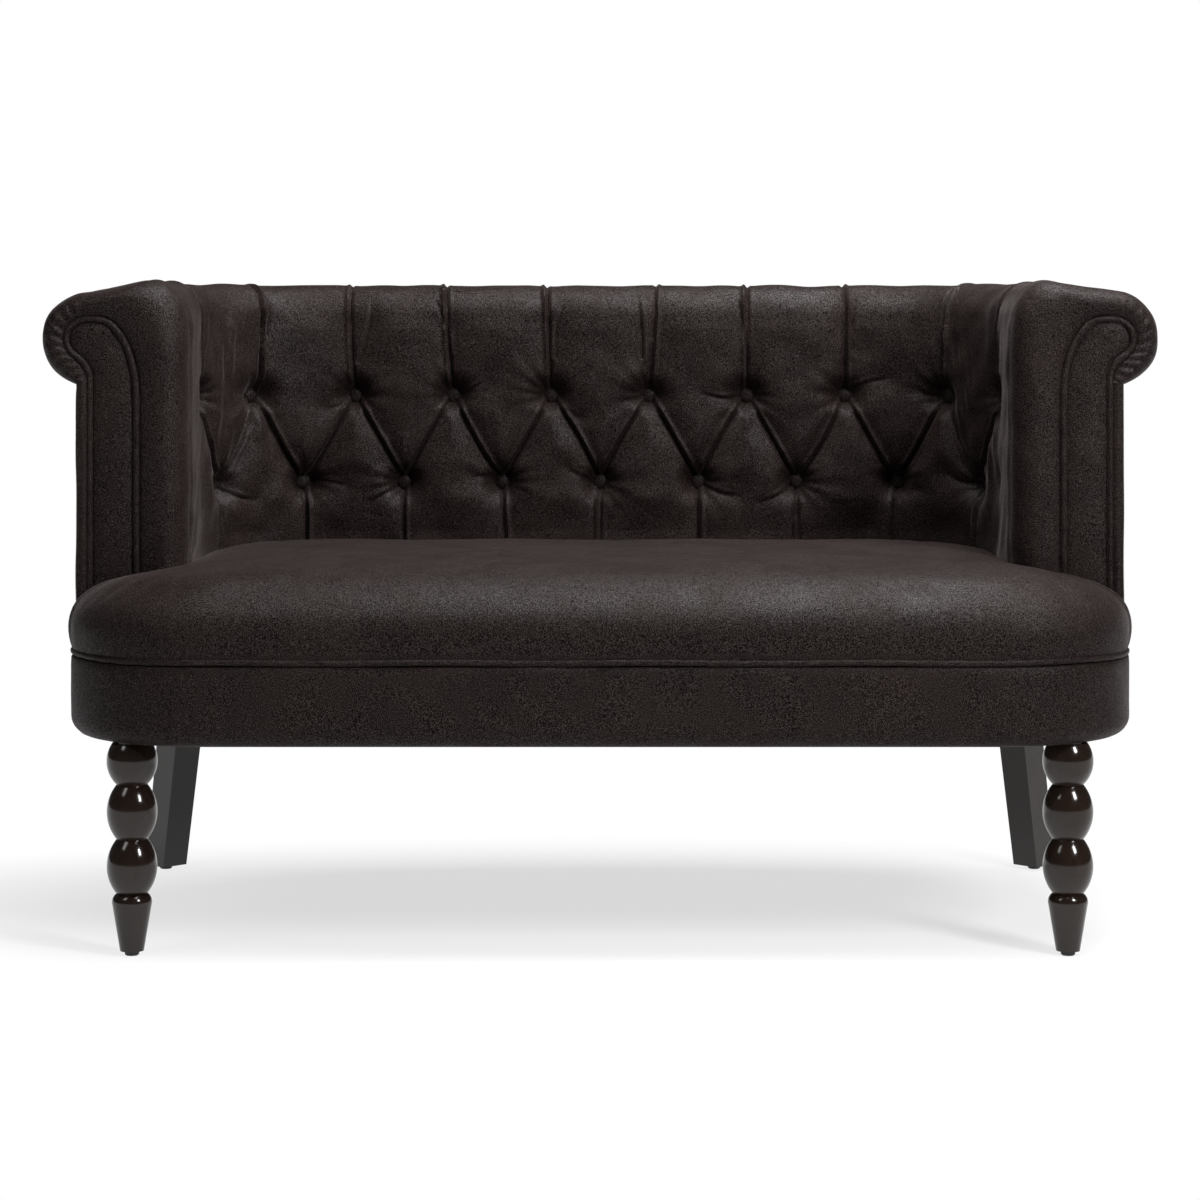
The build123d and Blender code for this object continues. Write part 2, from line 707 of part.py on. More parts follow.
def legs():
    place = Pos(front_leg_x, front_leg_y, 0)
    save_pair("front_leg", place * turned_leg())
    save_pair("front_glide", place * glide())
    bolt = block_round(0, 0, bolt_radius, leg_top - bolt_in_leg, rail_bottom + bolt_in_block - thread_gap)
    save_pair("hanger_bolt", place * bolt)
    insert = block_round(0, 0, insert_radius, rail_bottom, rail_bottom + bolt_in_block)
    insert -= block_round(0, 0, bolt_radius + thread_gap, 0, overall_height)
    save_both("threaded_inserts", place * insert)
    washer = block_round(0, 0, washer_radius, leg_top, rail_bottom)
    washer -= block_round(0, 0, bolt_radius + thread_gap, 0, overall_height)
    save_pair("leg_washer", place * washer)
    foot_x = rear_leg_x + rear_leg_splay * diagonal
    foot_y = rear_leg_y + rear_leg_splay * diagonal
    foot = Plane(origin=(foot_x, foot_y, glide_height))
    head = Plane(origin=(rear_leg_x, rear_leg_y, rail_bottom))
    rear = loft([foot * Rot(0, 0, 45) * Rectangle(rear_leg_foot, rear_leg_foot),
                 head * Rot(0, 0, 45) * Rectangle(rear_leg_top, rear_leg_top)], ruled=True)
    hole_floor = rail_bottom - cap_bolt_in_leg - over_cut
    head_floor = rail_bottom + cap_bolt_grip
    bolts = []
    for x, y in cap_bolt_places():
        rear -= block_round(x, y, cap_bolt_radius + wood_gap, hole_floor, rail_top)
        bolt = block_round(x, y, cap_bolt_radius, hole_floor + over_cut, head_floor)
        bolt += block_round(x, y, cap_head_radius, head_floor, head_floor + cap_head_height)
        bolts.append(bolt.solid())
    save_pair("rear_leg", rear - pin_hole(foot_x, foot_y))
    save_both("rear_glides", Pos(foot_x, foot_y, 0) * glide())
    save_both("rear_leg_bolts", Compound(bolts))


os.makedirs("parts", exist_ok=True)
seat_frame()
tub_frame()
springs()
seat()
front_trim()
tub_padding()
rims()
facings()
buttons()
legs()
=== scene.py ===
import bpy
import math
import numpy as np
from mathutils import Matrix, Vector


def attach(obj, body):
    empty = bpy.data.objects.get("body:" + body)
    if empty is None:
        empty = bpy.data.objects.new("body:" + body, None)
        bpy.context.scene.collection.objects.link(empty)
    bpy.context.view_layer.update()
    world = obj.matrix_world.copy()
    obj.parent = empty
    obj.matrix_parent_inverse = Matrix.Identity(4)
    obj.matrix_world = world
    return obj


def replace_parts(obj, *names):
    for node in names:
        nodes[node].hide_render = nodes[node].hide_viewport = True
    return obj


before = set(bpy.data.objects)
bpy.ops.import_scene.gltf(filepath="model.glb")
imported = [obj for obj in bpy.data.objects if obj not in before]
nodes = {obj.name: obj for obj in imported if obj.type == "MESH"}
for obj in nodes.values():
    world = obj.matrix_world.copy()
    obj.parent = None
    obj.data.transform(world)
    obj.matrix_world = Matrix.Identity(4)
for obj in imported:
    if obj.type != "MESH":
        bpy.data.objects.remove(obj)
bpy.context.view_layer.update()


# Hidden frame: sawn softwood rails, corner blocks, posts and boards, glued and screwed.
# Bare wood, pale and dull, with long grain and slightly darker late-wood lines.
def linear(code):
    shares = [int(code[i:i + 2], 16) / 255 for i in (1, 3, 5)]
    return tuple(c / 12.92 if c <= 0.04045 else ((c + 0.055) / 1.055) ** 2.4 for c in shares) + (1.0,)


def add(tree, kind, sockets, **settings):
    node = tree.nodes.new("ShaderNode" + kind)
    for key, value in settings.items():
        setattr(node, key, value)
    for key, value in sockets.items():
        if isinstance(value, bpy.types.NodeSocket):
            tree.links.new(value, node.inputs[key])
        else:
            node.inputs[key].default_value = value
    return node


def new_surface(name, sockets):
    material = bpy.data.materials.new(name)
    material.use_nodes = True
    tree = material.node_tree
    tree.nodes.clear()
    shader = add(tree, "BsdfPrincipled", sockets)
    add(tree, "OutputMaterial", {"Surface": shader.outputs[0]})
    place = add(tree, "TexCoord", {}).outputs["Object"]
    return material, tree, shader, place


def per_metre(millimetres):
    return 1000.0 / millimetres


def finish_nodes(material, names):
    for name in names:
        mesh = nodes[name].data
        mesh.materials.clear()
        mesh.materials.append(material)


softwood, tree, shader, place = new_surface("sawn_softwood", {"Roughness": 0.7})
stretched = add(tree, "Mapping", {"Vector": place, "Scale": (0.08, 1.0, 1.0)}).outputs[0]
grain = add(tree, "TexNoise", {"Vector": stretched, "Scale": per_metre(9), "Detail": 5.0}).outputs[0]
wood_colour = add(tree, "Mix", {0: grain, 6: linear("#b28a57"), 7: linear("#d9bd8b")},
                  data_type="RGBA").outputs[2]
tree.links.new(wood_colour, shader.inputs["Base Color"])
saw_marks = add(tree, "Bump", {"Height": grain, "Strength": 0.3, "Distance": 0.0005}).outputs[0]
tree.links.new(saw_marks, shader.inputs["Normal"])
finish_nodes(softwood, ["front_rail", "back_rail", "left_side_rail", "right_side_rail", "front_corner_blocks",
                        "rear_corner_blocks", "seat_stretcher", "back_top_rail", "corner_top_blocks",
                        "arm_top_rails", "back_uprights", "arm_posts", "arm_boards"])

# Springs, clips, bolts, inserts and washers: drawn and pressed steel with a thin zinc plating,
# which is bright grey and slightly cloudy.
zinc, tree, shader, place = new_surface("zinc_plated_steel", {"Metallic": 1.0})
cloud = add(tree, "TexNoise", {"Vector": place, "Scale": per_metre(6), "Detail": 3.0}).outputs[0]
zinc_colour = add(tree, "Mix", {0: cloud, 6: linear("#8d8f92"), 7: linear("#c3c4c4")},
                  data_type="RGBA").outputs[2]
tree.links.new(zinc_colour, shader.inputs["Base Color"])
zinc_polish = add(tree, "MapRange", {0: cloud, 3: 0.28, 4: 0.5}).outputs[0]
tree.links.new(zinc_polish, shader.inputs["Roughness"])
finish_nodes(zinc, ["seat_springs", "spring_clips", "left_hanger_bolt", "right_hanger_bolt",
                    "threaded_inserts", "rear_leg_bolts", "left_leg_washer", "right_leg_washer"])

# Hessian, webbing and tufting twine: plain-woven and spun jute, tacked to the frame.
# Coarse crossing threads about 2 mm apart show as a small square weave.
jute, tree, shader, place = new_surface("woven_jute", {"Roughness": 0.95})
wave_turns = 3.2
thread_scale = per_metre(2) / wave_turns
across = add(tree, "TexWave", {"Vector": place, "Scale": thread_scale, "Distortion": 1.0}).outputs[1]
upright = add(tree, "TexWave", {"Vector": place, "Scale": thread_scale, "Distortion": 1.0},
              bands_direction="Z").outputs[1]
threads = add(tree, "Math", {0: across, 1: upright}, operation="MULTIPLY").outputs[0]
jute_colour = add(tree, "Mix", {0: threads, 6: linear("#7a603b"), 7: linear("#c2a573")},
                  data_type="RGBA").outputs[2]
tree.links.new(jute_colour, shader.inputs["Base Color"])
weave = add(tree, "Bump", {"Height": threads, "Strength": 0.5, "Distance": 0.0006}).outputs[0]
tree.links.new(weave, shader.inputs["Normal"])
finish_nodes(jute, ["seat_hessian", "back_hessian", "arm_hessian", "back_webbing", "tufting_twine"])

# Foam cores under the velvet: open-cell polyurethane, cut to shape and glued to the hessian.
# It is cream, matt and finely pitted by cells about 2.5 mm wide.
foam, tree, shader, place = new_surface("open_cell_foam", {"Roughness": 1.0})
cells = add(tree, "TexVoronoi", {"Vector": place, "Scale": per_metre(2.5)}).outputs[0]
foam_colour = add(tree, "Mix", {0: cells, 6: linear("#f1e9cd"), 7: linear("#d8c99c")},
                  data_type="RGBA").outputs[2]
tree.links.new(foam_colour, shader.inputs["Base Color"])
finish_nodes(foam, ["seat_foam", "back_foam", "arm_foam"])

# Dust cover under the seat: black spun-bonded cloth stapled flat to the rails.
# Its pressed fibres give a faint dotted texture.
dust_cloth, tree, shader, place = new_surface("spun_bonded_cloth", {"Roughness": 0.95})
dots = add(tree, "TexVoronoi", {"Vector": place, "Scale": per_metre(3)}).outputs[0]
dust_colour = add(tree, "Mix", {0: dots, 6: linear("#1d1c1c"), 7: linear("#302f2e")},
                  data_type="RGBA").outputs[2]
tree.links.new(dust_colour, shader.inputs["Base Color"])
finish_nodes(dust_cloth, ["dust_cover"])

# Legs: two turned front legs of stacked balls over a tapered foot, and two square splayed rear
# legs, in hardwood sprayed with espresso lacquer. A clear hard gloss over almost black brown.
lacquer, tree, shader, place = new_surface("espresso_lacquered_wood", {
    "IOR": 1.5, "Specular IOR Level": 0.36, "Coat Weight": 0.15, "Coat Roughness": 0.05})
along_leg = add(tree, "Mapping", {"Vector": place, "Scale": (1.0, 1.0, 0.1)}).outputs[0]
pores = add(tree, "TexNoise", {"Vector": along_leg, "Scale": per_metre(4), "Detail": 6.0}).outputs[0]
leg_colour = add(tree, "Mix", {0: pores, 6: linear("#0c0807"), 7: linear("#21160f")},
                 data_type="RGBA").outputs[2]
tree.links.new(leg_colour, shader.inputs["Base Color"])
leg_gloss = add(tree, "MapRange", {0: pores, 3: 0.1, 4: 0.2}).outputs[0]
tree.links.new(leg_gloss, shader.inputs["Roughness"])
orange_peel = add(tree, "TexNoise", {"Vector": place, "Scale": per_metre(5)}).outputs[0]
sprayed = add(tree, "Bump", {"Height": orange_peel, "Strength": 0.06, "Distance": 0.0006}).outputs[0]
tree.links.new(sprayed, shader.inputs["Normal"])
finish_nodes(lacquer, ["left_front_leg", "right_front_leg", "left_rear_leg", "right_rear_leg"])

# Glides under the legs and the toggles behind the tufts: moulded black nylon, satin with a
# slightly scuffed surface. Each glide is pressed into its leg on a pin.
nylon, tree, shader, place = new_surface("moulded_nylon", {"IOR": 1.53})
scuffs = add(tree, "TexNoise", {"Vector": place, "Scale": per_metre(3), "Detail": 4.0}).outputs[0]
nylon_colour = add(tree, "Mix", {0: scuffs, 6: linear("#141313"), 7: linear("#2b2a2a")},
                   data_type="RGBA").outputs[2]
tree.links.new(nylon_colour, shader.inputs["Base Color"])
nylon_polish = add(tree, "MapRange", {0: scuffs, 3: 0.4, 4: 0.65}).outputs[0]
tree.links.new(nylon_polish, shader.inputs["Roughness"])
finish_nodes(nylon, ["left_front_glide", "right_front_glide", "rear_glides", "tuft_toggles"])

# Velvet: short black-brown cut pile. The pile lies in brushed patches, so it is mottled, glows
# at grazing angles and is speckled by clumps of pile, drawn at 1.1 mm so that they show.
velvet, tree, shader, place = new_surface("black_velvet", {
    "Sheen Weight": 0.16, "Sheen Roughness": 0.3, "Sheen Tint": linear("#b2a7a6")})
brushed = add(tree, "TexNoise", {"Vector": place, "Scale": per_metre(70), "Detail": 3.0, "Roughness": 0.55,
                                 "Distortion": 0.6}).outputs[0]
patches = add(tree, "MapRange", {0: brushed, 1: 0.36, 2: 0.66}).outputs[0]
clumps = add(tree, "TexNoise", {"Vector": place, "Scale": per_metre(1.1), "Detail": 2.0}).outputs[0]
specks = add(tree, "MapRange", {0: clumps, 1: 0.42, 2: 0.72}).outputs[0]
nap = add(tree, "Mix", {0: patches, 6: linear("#070404"), 7: linear("#0f0908")}, data_type="RGBA").outputs[2]
pile = add(tree, "Mix", {0: specks, 6: nap, 7: linear("#2a201e")}, data_type="RGBA").outputs[2]
tree.links.new(pile, shader.inputs["Base Color"])
glints = add(tree, "MapRange", {0: specks, 3: 0.02, 4: 0.3}).outputs[0]
tree.links.new(glints, shader.inputs["Specular IOR Level"])
pile_polish = add(tree, "MapRange", {0: patches, 3: 0.5, 4: 0.64}).outputs[0]
tree.links.new(pile_polish, shader.inputs["Roughness"])
crush = add(tree, "TexNoise", {"Vector": place, "Scale": per_metre(16), "Detail": 3.0}).outputs[0]
soft_bump = add(tree, "Bump", {"Height": crush, "Strength": 0.35, "Distance": 0.0015}).outputs[0]
pile_bump = add(tree, "Bump", {"Height": clumps, "Strength": 0.45, "Distance": 0.0008,
                               "Normal": soft_bump}).outputs[0]
tree.links.new(pile_bump, shader.inputs["Normal"])


# Outside of the arms, outside back and apron: velvet over thin wadding and card, pulled tight
# round the frame, turned under along the rounded lower edge and stapled below.
mm = 0.001
outer_x, outer_y, front_y = 584.0, 301.0, -338.0
arm_front_y = -163.0
front_corner, rear_corner = 165.0, 115.0
base_bottom, apron_top, panel_top = 229.0, 316.0, 610.4
edge_roll, panel_depth, lip = 20.0, 8.7, 29.0
cloth_thickness = 1.8
panel_step, rise_step = 9.0, 8.0
panel_slack = 0.5
seam_tuck, seam_reach = 2.5, 3.0
seam_gap, back_seam_gap, welt_gap = 0.4, 0.2, 0.2
top_rounding = [(0.4, 3.0), (1.5, 1.0), (3.5, 0.0)]
seam_x = outer_x - rear_corner
rear_centre_y = outer_y - rear_corner


def arc_points(centre, radius, start, end, steps):
    angles = [math.radians(start + (end - start) * k / steps) for k in range(steps + 1)]
    return [(centre[0] + radius * math.cos(a), centre[1] + radius * math.sin(a)) for a in angles]


def run_along(line):
    return np.concatenate([[0], np.cumsum(np.hypot(*np.diff(np.array(line, dtype=float), axis=0).T))])


def by_count(line, count):
    line = np.array(line, dtype=float)
    run = run_along(line)
    places = np.linspace(0, run[-1], count)
    return np.stack([np.interp(places, run, line[:, k]) for k in range(2)], axis=1)


def even(line, spacing):
    return by_count(line, max(2, int(round(run_along(line)[-1] / spacing)) + 1))


def normals_of(line):
    along = np.gradient(line, axis=0)
    along /= np.hypot(along[:, 0], along[:, 1])[:, None]
    return np.stack([along[:, 1], -along[:, 0]], axis=1)


def ripples(seed, count, shortest, longest):
    draw = np.random.default_rng(seed)
    waves = 2 * math.pi / draw.uniform(shortest, longest, count)
    turns = draw.uniform(0, math.pi, count)
    phases = draw.uniform(0, 2 * math.pi, count)
    return list(zip(waves * np.cos(turns), waves * np.sin(turns), phases))


def rippled(a, b, waves):
    return sum(np.sin(kx * a + ky * b + phase) for kx, ky, phase in waves) / math.sqrt(len(waves))


def pick(piece):
    bpy.ops.object.select_all(action="DESELECT")
    piece.select_set(True)
    bpy.context.view_layer.objects.active = piece


def new_piece(name, points, faces):
    mesh = bpy.data.meshes.new(name)
    mesh.from_pydata((np.asarray(points) * mm).tolist(), [], [list(face) for face in faces])
    mesh.validate()
    piece = bpy.data.objects.new(name, mesh)
    bpy.context.scene.collection.objects.link(piece)
    return piece


def face_outwards(piece, merge):
    pick(piece)
    bpy.ops.object.mode_set(mode="EDIT")
    bpy.ops.mesh.select_all(action="SELECT")
    if merge:
        bpy.ops.mesh.remove_doubles(threshold=0.00002)
    bpy.ops.mesh.normals_make_consistent(inside=False)
    bpy.ops.object.mode_set(mode="OBJECT")


def cover_in_velvet(piece):
    piece.data.materials.clear()
    piece.data.materials.append(velvet)
    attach(piece, "loveseat")


def cloth_piece(name, points, faces):
    piece = new_piece(name, points, faces)
    face_outwards(piece, merge=True)
    bpy.ops.object.shade_smooth_by_angle(angle=math.radians(60))
    cover_in_velvet(piece)
    return piece


def grid_quads(rows, columns, closed=False):
    quads = []
    for r in range(rows - 1):
        for c in range(columns if closed else columns - 1):
            here, beside = r * columns + c, r * columns + (c + 1) % columns
            quads.append((here, here + columns, beside + columns, beside))
    return quads


def panel(name, line, top, seed):
    line = even(line, panel_step)
    roll_top = base_bottom + edge_roll
    loop = [(lip, base_bottom), (edge_roll, base_bottom)]
    loop += [(edge_roll - edge_roll * math.sin(a), roll_top - edge_roll * math.cos(a))
             for a in np.linspace(0.15, math.pi / 2, 9)]
    loop += [(0.0, z) for z in np.arange(roll_top + rise_step, top - 5, rise_step)]
    loop += [(inset, top - below) for inset, below in top_rounding]
    loop += [(panel_depth, top), (panel_depth, top - 20), (panel_depth, roll_top)]
    loop += [(edge_roll, base_bottom + cloth_thickness), (lip, base_bottom + cloth_thickness)]
    loop = np.array(loop)
    run = run_along(line)
    tuck = seam_tuck * np.exp(-np.minimum(run, run[-1] - run) / seam_reach)
    waves = ripples(seed, 14, 60.0, 190.0)
    outer_face = loop[:, 0] < panel_depth - 1
    points = []
    for (x, y), (nx, ny), place_on, pulled in zip(line, normals_of(line), run, tuck):
        slack = panel_slack * rippled(np.full(len(loop), place_on), loop[:, 1], waves)
        inset = loop[:, 0] + np.where(outer_face, pulled - slack, 0)
        points.append(np.stack([x - nx * inset, y - ny * inset, loop[:, 1]], axis=1))
    count = len(loop)
    last = (len(line) - 1) * count
    ends = [range(count), range(last + count - 1, last - 1, -1)]
    piece = cloth_piece(name, np.concatenate(points), grid_quads(len(line), count, closed=True) + ends)
    return piece


front_centre_x, front_centre_y = outer_x - front_corner, front_y + front_corner
front_line = [(-outer_x, arm_front_y - seam_gap)]
front_line += arc_points((-front_centre_x, front_centre_y), front_corner, 180, 270, 24)
front_line += arc_points((front_centre_x, front_centre_y), front_corner, 270, 360, 24)
front_line += [(outer_x, arm_front_y - seam_gap)]
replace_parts(panel("apron_cover", front_line, apron_top - welt_gap, 3), "apron")
back_line = [(seam_x, outer_y), (-seam_x, outer_y)]
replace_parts(panel("outside_back_cover", back_line, panel_top, 5), "outside_back")
right_line = [(outer_x, arm_front_y + seam_gap), (outer_x, rear_centre_y)]
right_line += arc_points((seam_x, rear_centre_y), rear_corner, 0, 90, 20)
right_line += [(seam_x + back_seam_gap, outer_y)]
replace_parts(panel("right_outside_arm_cover", right_line, panel_top, 7), "right_outside_arm")
left_line = [(-x, y) for x, y in reversed(right_line)]
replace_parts(panel("left_outside_arm_cover", left_line, panel_top, 11), "left_outside_arm")


# Inside back, inside arms and rolled rim: one velvet cover over tufted wadding. Two rows of deep
# buttons are tied through the foam, and the slack is lapped into pleats between them, over the
# rim and down behind the seat; at the arm fronts it turns in over a soft padded border.
inner_x, inner_y = 468.0, 185.0
inner_corner = 150.0
path_half = inner_x - inner_corner
corner_run = inner_corner * math.pi / 2
path_centre_y = inner_y - inner_corner
path_end = path_half + corner_run + path_centre_y - arm_front_y
wall_depth = 116.0
cover_foot, rim_height = 318.0, 728.0
crest_radius, scroll_radius = 38.0, 53.0
scroll_u, scroll_z = 104.0, 662.0
scroll_tail = -75.0
rim_tuck = (112.0, 611.2)
half_pitch = 60.0
upper_row, lower_row = 593.0, 487.0
border_roll, border_recess = 38.0, 12.0
border_steps = 22
grid_step = 1.8
tiny = 1e-9


def on_path(run):
    side = np.where(run >= 0, 1.0, -1.0)
    far = np.abs(run)
    turn = np.clip((far - path_half) / inner_corner, 0, math.pi / 2)
    x = np.minimum(far, path_half) + inner_corner * np.sin(turn)
    y = path_centre_y + inner_corner * np.cos(turn) - np.maximum(0, far - path_half - corner_run)
    return side * x, y, side * np.sin(turn), np.cos(turn)


def corner_reach(run):
    x, y, nx, ny = on_path(np.abs(run))
    along = nx * (seam_x - x) + ny * (rear_centre_y - y)
    square = (seam_x - x) ** 2 + (rear_centre_y - y) ** 2
    round_reach = along + np.sqrt(np.maximum(0, along ** 2 - square + rear_corner ** 2))
    back_reach = (outer_y - y) / np.maximum(ny, tiny)
    side_reach = (outer_x - x) / np.maximum(nx, tiny)
    beside = np.where(y + ny * side_reach <= rear_centre_y, side_reach, round_reach)
    return np.where(x + nx * back_reach <= seam_x, back_reach, beside) - wall_depth


crest_z = rim_height - crest_radius
crest_to_scroll = math.hypot(scroll_u - crest_radius, scroll_z - crest_z)
tilt = 90 + math.degrees(math.atan2(scroll_z - crest_z, scroll_u - crest_radius)
                         + math.asin((scroll_radius - crest_radius) / crest_to_scroll))
crest_arc = arc_points((crest_radius, crest_z), crest_radius, 180, tilt, 24)
scroll_arc = arc_points((scroll_u, scroll_z), scroll_radius, tilt, scroll_tail, 40)
legs_of_rim = [[(0.0, cover_foot), (0.0, crest_z)], crest_arc, [crest_arc[-1], scroll_arc[0]], scroll_arc,
               [scroll_arc[-1], rim_tuck]]
counts = [max(3, int(round(run_along(leg)[-1] / grid_step)) + 1) for leg in legs_of_rim]


def joined(legs):
    made = [by_count(leg, count) for leg, count in zip(legs, counts)]
    return np.concatenate([made[0]] + [leg[1:] for leg in made[1:]])


rim = joined(legs_of_rim)
rim_run = run_along(rim)
rim_out = -normals_of(rim)
crest_run = crest_z - cover_foot
roll_run = rim_run[sum(counts[:3]) - 3]
roll_start = crest_run + 50
moves_out = np.clip((rim_run - roll_start) / (roll_run - roll_start), 0, 1)
columns = np.linspace(-path_end + border_roll, path_end - border_roll,
                      int(round(2 * (path_end - border_roll) / grid_step)) + 1)
run_grid, lift_grid = np.meshgrid(columns, rim_run, indexing="ij")
far_grid = np.abs(run_grid)
upper_lift, lower_lift = upper_row - cover_foot, lower_row - cover_foot
upper = [(k * half_pitch, upper_lift) for k in range(-9, 10, 2)]
lower = [(k * half_pitch, lower_lift) for k in range(-8, 9, 2)]
tufts = upper + lower

# Each pleat is a thin groove in a wider valley, with its cloth lapped up into a lip on one side.
# Where valleys meet, the deepest one rules, by a sum of high powers.
diamond_side = {"depth": 2.6, "deep_start": 12.0, "deep_end": 12.0, "width": 28.0}
seat_pleat = {"depth": 1.6, "deep_start": 13.0, "deep_end": 0.0, "width": 22.0}
rim_pleat = {"depth": 0.8, "deep_start": 15.0, "deep_end": 0.0, "width": 20.0}
crest_crease = {"depth": 0.3, "deep_start": 0.0, "deep_end": 0.0, "width": 9.0}
side_crease = {"depth": 0.6, "deep_start": 8.0, "deep_end": 0.0, "width": 9.0}
pull_reach = 20.0
groove, lip_place, lip_width = 1.9, 4.2, 2.4
lap_over, lap_under = 1.3, 0.25
meeting_power = 5
sunk, ridges = np.zeros_like(run_grid), np.zeros_like(run_grid)
clear = np.full_like(run_grid, 1e3)


def fold(start, end, tuck, bow, lapped, depth, deep_start, deep_end, width, fade_from=None):
    ax, ay = start
    bx, by = end
    length = math.hypot(bx - ax, by - ay)
    dx, dy = (bx - ax) / length, (by - ay) / length
    reached = (run_grid - ax) * dx + (lift_grid - ay) * dy
    along = np.clip(reached, 0, length)
    beside = (lift_grid - ay) * dx - (run_grid - ax) * dy - bow * np.sin(math.pi * along / length)
    away = np.hypot(beside, reached - along)
    held = depth + deep_start * np.exp(-along / pull_reach)
    held += deep_end * np.exp(-(length - along) / pull_reach)
    valley = held * (1 - np.minimum(away / width, 1)) ** 2 + tuck * np.exp(-(away / groove) ** 2)
    lap = np.where(beside * lapped > 0, lap_over, lap_under)
    ridge = lap * tuck * np.exp(-((away - lip_place) / lip_width) ** 2)
    if fade_from is not None:
        fade = np.clip(1 - (along - fade_from) / (length - fade_from), 0, 1)
        valley, ridge = valley * fade, ridge * fade
    np.add(sunk, valley ** meeting_power, out=sunk)
    np.maximum(ridges, ridge, out=ridges)
    np.minimum(clear, away, out=clear)


draw = np.random.default_rng(19)
for run, lift in lower:
    for step in (-half_pitch, half_pitch):
        fold((run, lift), (run + step, upper_lift), draw.uniform(2.4, 3.6), draw.uniform(-5, 5), step,
             **diamond_side)
    fold((run, lift), (run + draw.uniform(-7, 7), 0.0), draw.uniform(2.2, 3.2), draw.uniform(-3, 3),
         draw.choice((-1, 1)), **seat_pleat)
for run, lift in upper:
    fold((run, lift), (run + draw.uniform(-14, 14), roll_run + 25), draw.uniform(2.0, 3.0),
         draw.uniform(-5, 5), draw.choice((-1, 1)), fade_from=crest_run + 10 - lift, **rim_pleat)
    side = draw.choice((-1, 1))
    tip = (run + side * draw.uniform(10, 26), crest_run + 25)
    root = (run + side * draw.uniform(3, 9), crest_run - draw.uniform(25, 60))
    fold(root, tip, draw.uniform(0.9, 1.8), draw.uniform(-4, 4), side, fade_from=45.0, **crest_crease)
for run, lift in tufts:
    side = draw.choice((-1, 1), 1)[0]
    turn = math.radians(draw.uniform(-40, 30))
    length = draw.uniform(28, 58)
    tip = (run + side * length * math.cos(turn), lift + length * math.sin(turn))
    fold((run, lift), tip, draw.uniform(1.2, 2.2), draw.uniform(-5, 5), side, fade_from=8.0, **side_crease)
dimple_depth, dimple_radius = 25.0, 18.0
for run, lift in tufts:
    away = np.hypot(run_grid - run, lift_grid - lift)
    sunk += (dimple_depth * np.exp(-(away / dimple_radius) ** 2)) ** meeting_power
sunk = sunk ** (1 / meeting_power)

# Between the pleats the wadding swells. Round each button the cloth gathers towards one side, in
# the corners it hangs in soft folds, and over the rim and along the arm fronts it is drawn tight.
swell_height, swell_reach = 7.0, 26.0
tuft_end, seat_hides, rim_start, zone_fade = 560.0, 110.0, crest_run + 25, 40.0
tufted = np.clip((tuft_end - far_grid) / zone_fade, 0, 1)
above_seat = np.clip((lift_grid - seat_hides) / zone_fade, 0, 1)
below_rim = np.clip((rim_start - lift_grid) / zone_fade, 0, 1)
swell = swell_height * (1 - np.exp(-clear / swell_reach)) * tufted * above_seat * below_rim
gather_height, gather_start, gather_reach = 3.0, 16.0, 26.0
full_turn = 6.28
gathers = np.zeros_like(run_grid)
for run, lift in tufts:
    away = np.hypot(run_grid - run, lift_grid - lift)
    angle = np.arctan2(lift_grid - lift, run_grid - run)
    lobes = draw.integers(9, 14)
    strength = gather_height * away / (away + gather_start) * np.exp(-away / gather_reach)
    one_side = (0.5 + 0.5 * np.cos(angle - draw.uniform(0, full_turn))) ** 1.5
    gathers += strength * one_side * np.sin(lobes * angle + draw.uniform(0, full_turn)
                                            + 1.2 * np.sin(2 * angle + draw.uniform(0, full_turn)))
corner_place, corner_spread, corner_pitch, corner_height = 480.0, 70.0, 34.0, 1.6
corner_start, corner_fade, corner_slant = 150.0, 60.0, 0.16
in_corner = np.exp(-((far_grid - corner_place) / corner_spread) ** 2) * below_rim
in_corner *= np.clip((lift_grid - corner_start) / corner_fade, 0, 1)
uneven = np.clip(0.4 + 0.8 * rippled(run_grid, lift_grid, ripples(29, 12, 60.0, 150.0)), 0, 1.4)
hanging = 2 * math.pi * (far_grid + corner_slant * lift_grid) / corner_pitch
wander = 2.2 * np.sin(run_grid / 33.0 + lift_grid / 60.0)
gathers += corner_height * in_corner * uneven * np.sin(hanging + wander)
slack_height = 0.8
slack = slack_height * rippled(run_grid, lift_grid, ripples(23, 26, 34.0, 120.0))
pull_height, pull_pitch, pull_place, pull_spread = 0.7, 19.0, roll_run + 30, 60.0
rim_pull = pull_height * np.sin(2 * math.pi * run_grid / pull_pitch + 2.0 * np.sin(run_grid / 31.0))
rim_pull *= np.exp(-((lift_grid - pull_place) / pull_spread) ** 2)
front_height, front_place, front_spread = 9.0, path_end - 52.0, 30.0
front_roll = front_height * np.exp(-((far_grid - front_place) / front_spread) ** 2) * below_rim
stand = swell - sunk + ridges + gathers + slack + rim_pull + front_roll
path_x, path_y, path_nx, path_ny = (v[:, None] for v in on_path(columns))
deep = rim[:, 0] + corner_reach(columns)[:, None] * moves_out + stand * rim_out[:, 0]
tall = rim[:, 1] + stand * rim_out[:, 1]
cover = np.stack([path_x + path_nx * deep, path_y + path_ny * deep, tall], axis=2)

